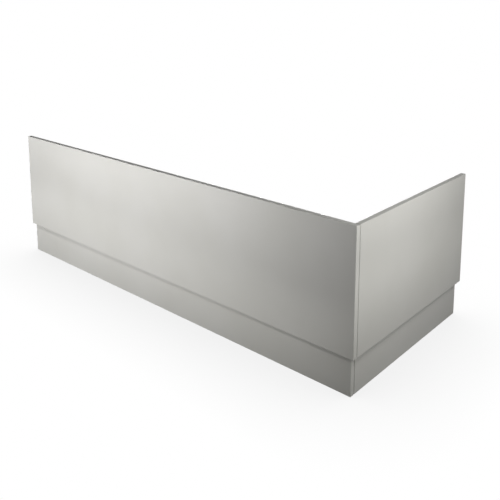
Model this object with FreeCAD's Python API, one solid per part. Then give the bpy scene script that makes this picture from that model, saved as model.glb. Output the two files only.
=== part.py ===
import FreeCAD
import Part

import os

# Corner bath panel set: a long front panel and a short end panel that meet in a butt joint at one corner,
# each with a plinth that stands on the floor and runs up behind the panel.
# Millimetres. The origin is on the floor in the middle of the bath's footprint, +Z is up, the front panel
# faces -Y and the end panel faces +X.

# The bath that the set goes round
front_length = 1700.0  # front panel from end to end
end_depth = 700.0  # show face of the front panel to the far end of the end panel

# Boards
panel_height = 400.0
panel_thickness = 18.0
plinth_show = 130.0  # height of plinth that shows below the panels
plinth_lap = 70.0  # height of plinth that runs up behind the panels
plinth_thickness = 18.0
arris_radius = 2.0  # rounding of every edge of a board
joint_gap = 1.5  # shadow line that two butted boards leave between them

# Folded steel angles inside the corner
bracket_leg = 40.0  # length of each leg, measured on the outside
bracket_width = 20.0
bracket_gauge = 2.0  # thickness of the steel
bracket_bend = 2.0  # inside radius of the fold
bracket_tip_radius = 4.0  # rounding of the free corners of each leg
bracket_hole = 4.5  # diameter of the screw holes
bracket_first_hole = 13.0  # outside of the fold to the first hole
bracket_hole_pitch = 18.0
bracket_below_top = 60.0  # top edge of the panels to the middle of the upper angle
bracket_above_plinth = 50.0  # top edge of the plinths to the middle of the lower angle
bracket_above_floor = 95.0  # floor to the middle of the angle between the plinths

# Planes that the pieces share
left_end = -front_length / 2
right_face = front_length / 2
front_face = -end_depth / 2
far_end = end_depth / 2
front_back = front_face + panel_thickness
end_back = right_face - panel_thickness
front_plinth_back = front_back + plinth_thickness
end_plinth_back = end_back - plinth_thickness
panel_foot = plinth_show
panel_top = panel_foot + panel_height
plinth_top = plinth_show + plinth_lap


def board(low, high):
    # A board between two corners, with every arris rounded.
    low = FreeCAD.Vector(*low)
    size = FreeCAD.Vector(*high) - low
    blank = Part.makeBox(size.x, size.y, size.z, low)
    return blank.makeFillet(arris_radius, blank.Edges)


def front_panel():
    return board((left_end, front_face, panel_foot), (right_face, front_back, panel_top))


def end_panel():
    # Its near edge butts against the back of the front panel.
    return board((end_back, front_back + joint_gap, panel_foot), (right_face, far_end, panel_top))


def front_plinth():
    # It lies against the back of the front panel and stops at the back of the end panel.
    return board((left_end, front_back, 0), (end_back, front_plinth_back, plinth_top))


def end_plinth():
    # It lies against the back of the end panel, and its near edge butts against the back of the front plinth.
    return board((end_plinth_back, front_plinth_back + joint_gap, 0), (end_back, far_end, plinth_top))


def angle_outline(corner_x, corner_y, level):
    # Section of a folded angle seated in an inside corner, one leg towards -X and the other towards +Y.
    fold = bracket_bend + bracket_gauge
    slant = 1 - 0.5 ** 0.5

    def at(along, out):
        return FreeCAD.Vector(corner_x - along, corner_y + out, level)

    outer_fold = Part.Arc(at(fold, 0), at(fold * slant, fold * slant), at(0, fold))
    inner_middle = bracket_gauge + bracket_bend * slant
    inner_fold = Part.Arc(at(bracket_gauge, fold), at(inner_middle, inner_middle), at(fold, bracket_gauge))
    sides = [
        Part.LineSegment(at(bracket_leg, 0), at(fold, 0)),
        outer_fold,
        Part.LineSegment(at(0, fold), at(0, bracket_leg)),
        Part.LineSegment(at(0, bracket_leg), at(bracket_gauge, bracket_leg)),
        Part.LineSegment(at(bracket_gauge, bracket_leg), at(bracket_gauge, fold)),
        inner_fold,
        Part.LineSegment(at(fold, bracket_gauge), at(bracket_leg, bracket_gauge)),
        Part.LineSegment(at(bracket_leg, bracket_gauge), at(bracket_leg, 0)),
    ]
    return Part.Face(Part.Wire([side.toShape() for side in sides]))


def corner_bracket(corner_x, corner_y, middle):
    # Folded angle with rounded leg corners and two screw holes in each leg.
    outline = angle_outline(corner_x, corner_y, middle - bracket_width / 2)
    angle = outline.extrude(FreeCAD.Vector(0, 0, bracket_width))
    tip_x = corner_x - bracket_leg
    tip_y = corner_y + bracket_leg

    def at_tip(edge):
        # The four short edges through the steel's thickness at the free ends of the legs.
        centre = edge.CenterOfMass
        across = abs(edge.Length - bracket_gauge) < 1e-6
        return across and (abs(centre.x - tip_x) < 1e-6 or abs(centre.y - tip_y) < 1e-6)

    angle = angle.makeFillet(bracket_tip_radius, [edge for edge in angle.Edges if at_tip(edge)])
    for step in range(2):
        along = bracket_first_hole + step * bracket_hole_pitch
        for start, way in (
            (FreeCAD.Vector(corner_x - along, corner_y, middle), FreeCAD.Vector(0, 1, 0)),
            (FreeCAD.Vector(corner_x, corner_y + along, middle), FreeCAD.Vector(-1, 0, 0)),
        ):
            angle = angle.cut(Part.makeCylinder(bracket_hole / 2, bracket_gauge, start, way))
    return angle


pieces = {
    "front_panel": front_panel(),
    "front_plinth": front_plinth(),
    "end_panel": end_panel(),
    "end_plinth": end_plinth(),
    "upper_corner_bracket": corner_bracket(end_back, front_back, panel_top - bracket_below_top),
    "lower_corner_bracket": corner_bracket(end_back, front_back, plinth_top + bracket_above_plinth),
    "plinth_corner_bracket": corner_bracket(end_plinth_back, front_plinth_back, bracket_above_floor),
}

os.makedirs("parts", exist_ok=True)
for name, shape in pieces.items():
    shape.exportStep(f"parts/{name}.step")
    print(name, "valid" if shape.isValid() else "NOT VALID", f"{shape.Volume / 1e6:.3f} litres")
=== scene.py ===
import math

import bmesh
import bpy
from mathutils import Matrix, Vector


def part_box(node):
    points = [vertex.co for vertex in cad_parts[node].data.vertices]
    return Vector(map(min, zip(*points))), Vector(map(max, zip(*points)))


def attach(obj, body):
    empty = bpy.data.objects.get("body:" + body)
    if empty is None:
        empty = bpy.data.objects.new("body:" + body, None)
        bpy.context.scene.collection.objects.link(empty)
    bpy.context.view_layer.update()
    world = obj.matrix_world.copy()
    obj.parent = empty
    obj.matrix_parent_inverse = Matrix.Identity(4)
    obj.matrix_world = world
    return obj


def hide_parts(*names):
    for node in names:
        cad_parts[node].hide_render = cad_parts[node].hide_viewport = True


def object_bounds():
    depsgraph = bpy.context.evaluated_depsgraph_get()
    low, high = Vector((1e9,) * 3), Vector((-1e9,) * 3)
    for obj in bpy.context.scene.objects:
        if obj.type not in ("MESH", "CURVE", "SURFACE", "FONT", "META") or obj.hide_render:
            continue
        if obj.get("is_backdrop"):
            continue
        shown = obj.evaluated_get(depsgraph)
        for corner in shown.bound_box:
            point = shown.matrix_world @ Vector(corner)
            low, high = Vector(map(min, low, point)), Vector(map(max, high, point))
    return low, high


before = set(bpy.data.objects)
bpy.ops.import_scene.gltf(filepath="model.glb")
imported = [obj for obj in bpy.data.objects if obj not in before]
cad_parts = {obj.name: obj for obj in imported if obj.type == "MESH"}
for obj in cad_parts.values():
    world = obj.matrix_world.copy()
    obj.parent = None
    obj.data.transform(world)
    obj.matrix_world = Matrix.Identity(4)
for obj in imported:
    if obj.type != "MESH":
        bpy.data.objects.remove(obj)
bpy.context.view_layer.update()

mm = 0.001
print("frame loaded:", ", ".join(sorted(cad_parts)))


def toLinear(hexColour):  # sRGB hex to linear, with alpha
    parts = [int(hexColour[i:i + 2], 16) / 255 for i in (0, 2, 4)]
    return [p / 12.92 if p <= 0.04045 else ((p + 0.055) / 1.055) ** 2.4 for p in parts] + [1.0]


def addNode(tree, kind, inputs=None, links=None, **settings):
    node = tree.nodes.new(kind)
    for name, value in settings.items():
        setattr(node, name, value)
    for socket, value in (inputs or {}).items():
        node.inputs[socket].default_value = value
    for socket, source in (links or {}).items():
        tree.links.new(source, node.inputs[socket])
    return node


def newMaterial(name):
    material = bpy.data.materials.new(name)
    material.use_nodes = True
    material.node_tree.nodes.clear()
    return material, material.node_tree


def newPiece(name, shape, materials):
    mesh = bpy.data.meshes.new(name)
    shape.to_mesh(mesh)
    shape.free()
    for material in materials:
        mesh.materials.append(material)
    piece = bpy.data.objects.new(name, mesh)
    bpy.context.collection.objects.link(piece)
    return piece


# Grey PVC foil, vacuum-pressed over the MDF core and satin: an even pale warm grey with a broad soft sheen,
# and a faint ripple in that sheen where the foil follows the board under it.
foilSet = {
    "colours": ((0.35, "CAC9C3"), (0.65, "C5C4BD")),  # each with its place on the drift, from 0 to 1
    "driftMm": 340,  # size of the slow drift between the two greys
    "roughness": (0.43, 0.49),
    "hazeMm": 90,  # size of the patches where the sheen is a little duller
    "rippleMm": 7,  # orange peel is nearer 2 mm, drawn coarser so that it shows
    "rippleDepthMm": 0.010,
    "ior": 1.5,
}


def makeFoil():
    material, tree = newMaterial("greyPvcFoil")
    place = addNode(tree, "ShaderNodeTexCoord").outputs["Object"]
    drift = addNode(tree, "ShaderNodeTexNoise", {"Scale": 1000 / foilSet["driftMm"], "Detail": 3},
                    {"Vector": place})
    greys = addNode(tree, "ShaderNodeValToRGB", links={"Fac": drift.outputs["Fac"]})
    for stop, (at, colour) in zip(greys.color_ramp.elements, foilSet["colours"]):
        stop.position = at
        stop.color = toLinear(colour)
    haze = addNode(tree, "ShaderNodeTexNoise", {"Scale": 1000 / foilSet["hazeMm"], "Detail": 4},
                   {"Vector": place})
    sheen = addNode(tree, "ShaderNodeMapRange",
                    {"To Min": foilSet["roughness"][0], "To Max": foilSet["roughness"][1]},
                    {"Value": haze.outputs["Fac"]})
    peel = addNode(tree, "ShaderNodeTexNoise", {"Scale": 1000 / foilSet["rippleMm"], "Detail": 1},
                   {"Vector": place})
    ripple = addNode(tree, "ShaderNodeBump", {"Distance": foilSet["rippleDepthMm"] * mm},
                     {"Height": peel.outputs["Fac"]})
    skin = addNode(tree, "ShaderNodeBsdfPrincipled", {"IOR": foilSet["ior"]},
                   {"Base Color": greys.outputs["Color"], "Roughness": sheen.outputs["Result"],
                    "Normal": ripple.outputs["Normal"]})
    addNode(tree, "ShaderNodeOutputMaterial", links={"Surface": skin.outputs["BSDF"]})
    return material


# White melamine paper on the back of the board, pressed against a finely pebbled plate: flat white,
# nearly without gloss, with a fine grain that takes the light unevenly.
melamineSet = {
    "colours": ((0.3, "EDEDEA"), (0.7, "E5E5E1")),
    "driftMm": 260,
    "roughness": (0.46, 0.58),
    "pebbleMm": 3,  # the real pebble is under 1 mm, drawn coarser so that it shows
    "pebbleDepthMm": 0.03,
    "ior": 1.5,
}


def makeMelamine():
    material, tree = newMaterial("whiteMelamine")
    place = addNode(tree, "ShaderNodeTexCoord").outputs["Object"]
    drift = addNode(tree, "ShaderNodeTexNoise", {"Scale": 1000 / melamineSet["driftMm"], "Detail": 5},
                    {"Vector": place})
    whites = addNode(tree, "ShaderNodeValToRGB", links={"Fac": drift.outputs["Fac"]})
    for stop, (at, colour) in zip(whites.color_ramp.elements, melamineSet["colours"]):
        stop.position = at
        stop.color = toLinear(colour)
    pebble = addNode(tree, "ShaderNodeTexVoronoi", {"Scale": 1000 / melamineSet["pebbleMm"]},
                     {"Vector": place}, feature="SMOOTH_F1")
    dull = addNode(tree, "ShaderNodeMapRange",
                   {"To Min": melamineSet["roughness"][0], "To Max": melamineSet["roughness"][1]},
                   {"Value": pebble.outputs["Distance"]})
    grain = addNode(tree, "ShaderNodeBump", {"Distance": melamineSet["pebbleDepthMm"] * mm},
                    {"Height": pebble.outputs["Distance"]})
    skin = addNode(tree, "ShaderNodeBsdfPrincipled", {"IOR": melamineSet["ior"]},
                   {"Base Color": whites.outputs["Color"], "Roughness": dull.outputs["Result"],
                    "Normal": grain.outputs["Normal"]})
    addNode(tree, "ShaderNodeOutputMaterial", links={"Surface": skin.outputs["BSDF"]})
    return material


# Mild steel, cold rolled and bright zinc plated: a cool silver with fine lines from rolling, and cloudy
# patches where the plating is duller.
zincSet = {
    "colours": ((0.35, "BCC0C4"), (0.7, "8D9297")),
    "cloudMm": 12,
    "roughness": (0.26, 0.42),
    "rollLineMm": 0.8,  # from line to line
    "rollStretch": 20,  # how many times longer a line is than wide
    "rollDepthMm": 0.01,
}


def makeZinc():
    material, tree = newMaterial("brightZincPlatedSteel")
    place = addNode(tree, "ShaderNodeTexCoord").outputs["Object"]
    cloud = addNode(tree, "ShaderNodeTexNoise", {"Scale": 1000 / zincSet["cloudMm"], "Detail": 3},
                    {"Vector": place})
    silvers = addNode(tree, "ShaderNodeValToRGB", links={"Fac": cloud.outputs["Fac"]})
    for stop, (at, colour) in zip(silvers.color_ramp.elements, zincSet["colours"]):
        stop.position = at
        stop.color = toLinear(colour)
    dull = addNode(tree, "ShaderNodeMapRange",
                   {"To Min": zincSet["roughness"][0], "To Max": zincSet["roughness"][1]},
                   {"Value": cloud.outputs["Fac"]})
    drawn = 1 / zincSet["rollStretch"]  # drawn out along X and Y, so that the lines lie level
    along = addNode(tree, "ShaderNodeMapping", {"Scale": (drawn, drawn, 1.0)}, {"Vector": place})
    rolled = addNode(tree, "ShaderNodeTexNoise", {"Scale": 1000 / zincSet["rollLineMm"], "Detail": 2},
                     {"Vector": along.outputs["Vector"]})
    lines = addNode(tree, "ShaderNodeBump", {"Distance": zincSet["rollDepthMm"] * mm},
                    {"Height": rolled.outputs["Fac"]})
    plate = addNode(tree, "ShaderNodeBsdfPrincipled", {"Metallic": 1.0},
                    {"Base Color": silvers.outputs["Color"], "Roughness": dull.outputs["Result"],
                     "Normal": lines.outputs["Normal"]})
    addNode(tree, "ShaderNodeOutputMaterial", links={"Surface": plate.outputs["BSDF"]})
    return material


foil = makeFoil()
melamine = makeMelamine()
zinc = makeZinc()
print("materials made")

boardSet = {
    "arrisMm": 2.0,
    "arrisSegments": 4,
    "flatBack": -0.99,  # cosine to the show face: a face below it is the flat of the back
    "showFace": {  # which way the foiled face of each board looks
        "front_panel": (0, -1, 0),
        "front_plinth": (0, -1, 0),
        "end_panel": (1, 0, 0),
        "end_plinth": (1, 0, 0),
    },
}


def makeBoard(node, showFace):
    low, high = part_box(node)
    shape = bmesh.new()
    bmesh.ops.create_cube(shape, size=1.0)
    bmesh.ops.scale(shape, vec=high - low, verts=shape.verts)
    bmesh.ops.translate(shape, vec=(low + high) / 2, verts=shape.verts)
    bmesh.ops.bevel(shape, geom=shape.edges[:], offset=boardSet["arrisMm"] * mm,
                    segments=boardSet["arrisSegments"], affect="EDGES", profile=0.5, material=-1)
    for face in shape.faces:
        face.smooth = True
        onBack = face.normal.dot(showFace) < boardSet["flatBack"]
        face.material_index = 1 if onBack else 0  # the foil wraps the edges and stops at the back
    board = newPiece(node + "_foiled", shape, (foil, melamine))
    even = board.modifiers.new("flatFacesStayFlat", "WEIGHTED_NORMAL")
    even.weight = 100  # the large faces count most
    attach(board, "root")
    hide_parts(node)


for node, showFace in boardSet["showFace"].items():
    makeBoard(node, Vector(showFace))
print("boards made")

# The three folded angles keep their CAD meshes and get the plating.
brackets = ["upper_corner_bracket", "lower_corner_bracket", "plinth_corner_bracket"]
for node in brackets:
    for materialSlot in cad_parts[node].material_slots:
        materialSlot.material = zinc
print("brackets plated")

# Pan head screws with a cross recess, one in each bracket hole and a row along each plinth.
screwSet = {
    "recessMm": 2.1,  # centre to the end of one arm of the cross
    "recessDepthMm": 1.5,
    "recessTaper": 0.6,  # the cross at the bottom of the recess, as a share of the cross at its mouth
    # radius and drop from the top: the crown round the cross, then the dome ring by ring
    "crownMm": (2.7, 0.1),
    "domeMm": ((3.3, 0.4), (3.7, 0.9), (3.95, 1.6), (4.0, 2.6)),
    "sharpDegrees": 35,  # an edge with a bend above this stays sharp
    "turnDegrees": 137,  # from one screw to the next, so that no two crosses stand alike
    "bracketGaugeMm": 2.0,
    "bracketHolesMm": (13.0, 31.0),  # from the outside of the fold
    "frontRowMm": (80, 450, 820, 1190, 1560),  # from the far end of the front plinth
    "endRowMm": (92.5, 342.5, 592.5),  # from the corner end of the end plinth
    "rowHeightMm": 165,  # from the foot of both
}


def openEdges(shape):
    return [edge for edge in shape.edges if edge.is_boundary]


def newVerts(result):
    return [part for part in result["geom"] if isinstance(part, bmesh.types.BMVert)]


def makeScrewHead():
    head = bmesh.new()
    reach = screwSet["recessMm"] * mm
    bmesh.ops.create_grid(head, x_segments=3, y_segments=3, size=reach)
    corners = [face for face in head.faces if min(abs(c) for c in face.calc_center_median().xy) > reach / 2]
    bmesh.ops.delete(head, geom=corners, context="FACES")  # nine squares less four leave the cross
    bmesh.ops.subdivide_edges(head, edges=openEdges(head), cuts=1)
    cross = head.faces[:]
    bottom = newVerts(bmesh.ops.extrude_face_region(head, geom=cross))
    bmesh.ops.delete(head, geom=[face for face in cross if face.is_valid], context="FACES")
    bmesh.ops.scale(head, vec=(screwSet["recessTaper"], screwSet["recessTaper"], 1), verts=bottom)
    bmesh.ops.translate(head, vec=(0, 0, -screwSet["recessDepthMm"] * mm), verts=bottom)
    radius, drop = screwSet["crownMm"]
    bmesh.ops.create_circle(head, segments=len(openEdges(head)), radius=radius * mm,
                            matrix=Matrix.Translation((0, 0, -drop * mm)))
    mouthAndRim = [edge for edge in head.edges if edge.is_boundary or edge.is_wire]
    bmesh.ops.bridge_loops(head, edges=mouthAndRim)
    for nextRadius, nextDrop in screwSet["domeMm"]:
        ring = newVerts(bmesh.ops.extrude_edge_only(head, edges=openEdges(head)))
        bmesh.ops.scale(head, vec=(nextRadius / radius, nextRadius / radius, 1), verts=ring)
        bmesh.ops.translate(head, vec=(0, 0, (drop - nextDrop) * mm), verts=ring)
        radius, drop = nextRadius, nextDrop
    bmesh.ops.holes_fill(head, edges=openEdges(head))
    bmesh.ops.translate(head, vec=(0, 0, drop * mm), verts=head.verts)  # the underside comes to the origin
    bmesh.ops.recalc_face_normals(head, faces=head.faces)
    for face in head.faces:
        face.smooth = True
    mesh = bpy.data.meshes.new("screwHead")
    head.to_mesh(mesh)
    head.free()
    mesh.set_sharp_from_angle(angle=math.radians(screwSet["sharpDegrees"]))
    return mesh


def makeScrews(name, head, seats):
    shape = bmesh.new()
    for count, (place, outward) in enumerate(seats):
        before = len(shape.verts)
        shape.from_mesh(head)
        shape.verts.ensure_lookup_table()
        turn = Matrix.Rotation(math.radians(screwSet["turnDegrees"] * count), 4, "Z")
        seat = Matrix.Translation(place) @ Vector(outward).to_track_quat("Z", "Y").to_matrix().to_4x4()
        bmesh.ops.transform(shape, matrix=seat @ turn, verts=shape.verts[before:])
    screws = newPiece(name, shape, (zinc,))
    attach(screws, "root")


screwHead = makeScrewHead()
bracketSeats = []
gauge = screwSet["bracketGaugeMm"] * mm
for node in brackets:
    low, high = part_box(node)
    middle = (low.z + high.z) / 2
    for hole in screwSet["bracketHolesMm"]:
        bracketSeats.append(((high.x - hole * mm, low.y + gauge, middle), (0, 1, 0)))
        bracketSeats.append(((high.x - gauge, low.y + hole * mm, middle), (-1, 0, 0)))
makeScrews("bracket_screws", screwHead, bracketSeats)

plinthSeats = []
rowHeight = screwSet["rowHeightMm"] * mm
frontLow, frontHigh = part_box("front_plinth")
for along in screwSet["frontRowMm"]:
    plinthSeats.append(((frontLow.x + along * mm, frontHigh.y, frontLow.z + rowHeight), (0, 1, 0)))
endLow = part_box("end_plinth")[0]
for along in screwSet["endRowMm"]:
    plinthSeats.append(((endLow.x, endLow.y + along * mm, endLow.z + rowHeight), (-1, 0, 0)))
makeScrews("plinth_screws", screwHead, plinthSeats)
print("screws made")


def seenRays(tree):
    # 1 for what the camera sees, also in a gloss or through glass, and 0 for rays that only bring light
    rays = addNode(tree, "ShaderNodeLightPath")
    direct = addNode(tree, "ShaderNodeMath", operation="MAXIMUM",
                     links={0: rays.outputs["Is Camera Ray"], 1: rays.outputs["Is Glossy Ray"]})
    seen = addNode(tree, "ShaderNodeMath", operation="MAXIMUM",
                   links={0: direct.outputs[0], 1: rays.outputs["Is Transmission Ray"]})
    return seen.outputs[0]


# White studio floor: seen as the white backdrop, a white glow with a painted soft shadow, dimmer where the
# occlusion node finds the boards within reach. As a source of light on the object it is a darker grey.
floorSet = {
    "sizeM": 60,
    "bounce": "7A7A78",
    "shadowReachM": 0.35,
    "shadowSamples": 8,
    "fullShadow": 0.5,  # share of open sky found by the occlusion node at which the painted shadow is deepest
    "shadow": (0.88, 1.0),  # strength of the white there, and in the open
}
floorShape = bmesh.new()
bmesh.ops.create_grid(floorShape, x_segments=1, y_segments=1, size=floorSet["sizeM"] / 2)
floorMaterial, floorTree = newMaterial("whiteStudioFloor")
# painted shadow: the glow's strength follows how much of the sky the boards hide, not any lamp
openSky = addNode(floorTree, "ShaderNodeAmbientOcclusion", {"Distance": floorSet["shadowReachM"]},
                  samples=floorSet["shadowSamples"])
shadow = addNode(floorTree, "ShaderNodeMapRange",
                 {"From Min": floorSet["fullShadow"],
                  "To Min": floorSet["shadow"][0], "To Max": floorSet["shadow"][1]},
                 {"Value": openSky.outputs["AO"]})
white = addNode(floorTree, "ShaderNodeEmission", links={"Strength": shadow.outputs["Result"]})
grey = addNode(floorTree, "ShaderNodeBsdfDiffuse", {"Color": toLinear(floorSet["bounce"])})
cover = addNode(floorTree, "ShaderNodeMixShader",
                links={0: seenRays(floorTree), 1: grey.outputs[0], 2: white.outputs[0]})
addNode(floorTree, "ShaderNodeOutputMaterial", links={"Surface": cover.outputs[0]})
floor = newPiece("floor", floorShape, (floorMaterial,))
floor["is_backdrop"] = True
print("floor laid")

lampSet = {
    "frontStripBox": {"place": (0.31, -2.51, 0.46), "aim": (-0.66, -0.15, 0.79), "size": (1.82, 0.10),
                      "watts": 12.3, "spread": 60, "colour": "FCFCFF"},
    "endSoftBox": {"place": (1.49, -0.15, 1.13), "aim": (0.35, -0.18, 1.25), "size": (0.81, 1.38),
                   "watts": 10.4, "spread": 176, "colour": "FFFFFF"},
    # close to the boards and lower than their tops: these two draw the shadow lines under the panels
    "frontLineStrip": {"place": (-0.15, -0.61, 0.50), "aim": (-0.14, -0.39, -0.02), "size": (2.04, 0.05),
                       "watts": 0.74, "spread": 71, "colour": "FFFFFF"},
    "endLineStrip": {"place": (1.05, -0.03, 0.50), "aim": (0.83, -0.01, 0.06), "size": (1.1, 0.05),
                     "watts": 0.20, "spread": 87, "colour": "FFFFFF"},
    # below the top edges, so that they get none of it
    "backStripBox": {"place": (-3.4, 4.8, 0.30), "aim": (0.0, -0.1, 0.30), "size": (2.4, 0.4),
                     "watts": 315, "spread": 180, "colour": "FFFFFF"},
}
for name, lamp in lampSet.items():
    light = bpy.data.lights.new(name, "AREA")
    light.shape = "RECTANGLE"
    light.size, light.size_y = lamp["size"]
    light.energy = lamp["watts"]
    light.color = toLinear(lamp["colour"])[:3]
    light.spread = math.radians(lamp["spread"])
    stand = bpy.data.objects.new(name, light)
    stand.location = lamp["place"]
    stand.rotation_euler = (Vector(lamp["aim"]) - Vector(lamp["place"])).to_track_quat("-Z", "Y").to_euler()
    stand.visible_camera = False
    bpy.context.collection.objects.link(stand)

worldSet = {
    "ambient": 0.01,  # strength of the light that it gives
    "backdrop": 1.0,  # strength of the white that is seen
}
world = bpy.data.worlds.new("studio")
bpy.context.scene.world = world
world.use_nodes = True
worldTree = world.node_tree
worldTree.nodes.clear()
strength = addNode(worldTree, "ShaderNodeMapRange",
                   {"To Min": worldSet["ambient"], "To Max": worldSet["backdrop"]},
                   {"Value": seenRays(worldTree)})
backdrop = addNode(worldTree, "ShaderNodeBackground", {"Color": (1, 1, 1, 1)},
                   {"Strength": strength.outputs["Result"]})
addNode(worldTree, "ShaderNodeOutputWorld", links={"Surface": backdrop.outputs[0]})

cameraSet = {
    "place": (1.7818, -1.8394, 1.1677),
    "yaw": 41.61,  # degrees from facing the front panel square on
    "pitch": 9.45,  # degrees down
    "lens": 47.82,
    "shiftY": -0.3,  # keeps the uprights near upright, as in the photograph
}
cameraLens = bpy.data.cameras.new("camera")
cameraLens.lens = cameraSet["lens"]
cameraLens.shift_y = cameraSet["shiftY"]
camera = bpy.data.objects.new("camera", cameraLens)
camera.location = cameraSet["place"]
camera.rotation_euler = (math.radians(90 - cameraSet["pitch"]), 0, math.radians(cameraSet["yaw"]))
bpy.context.collection.objects.link(camera)
bpy.context.scene.camera = camera
bpy.context.scene.view_settings.view_transform = "Standard"
print("lights and camera set")

low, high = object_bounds()
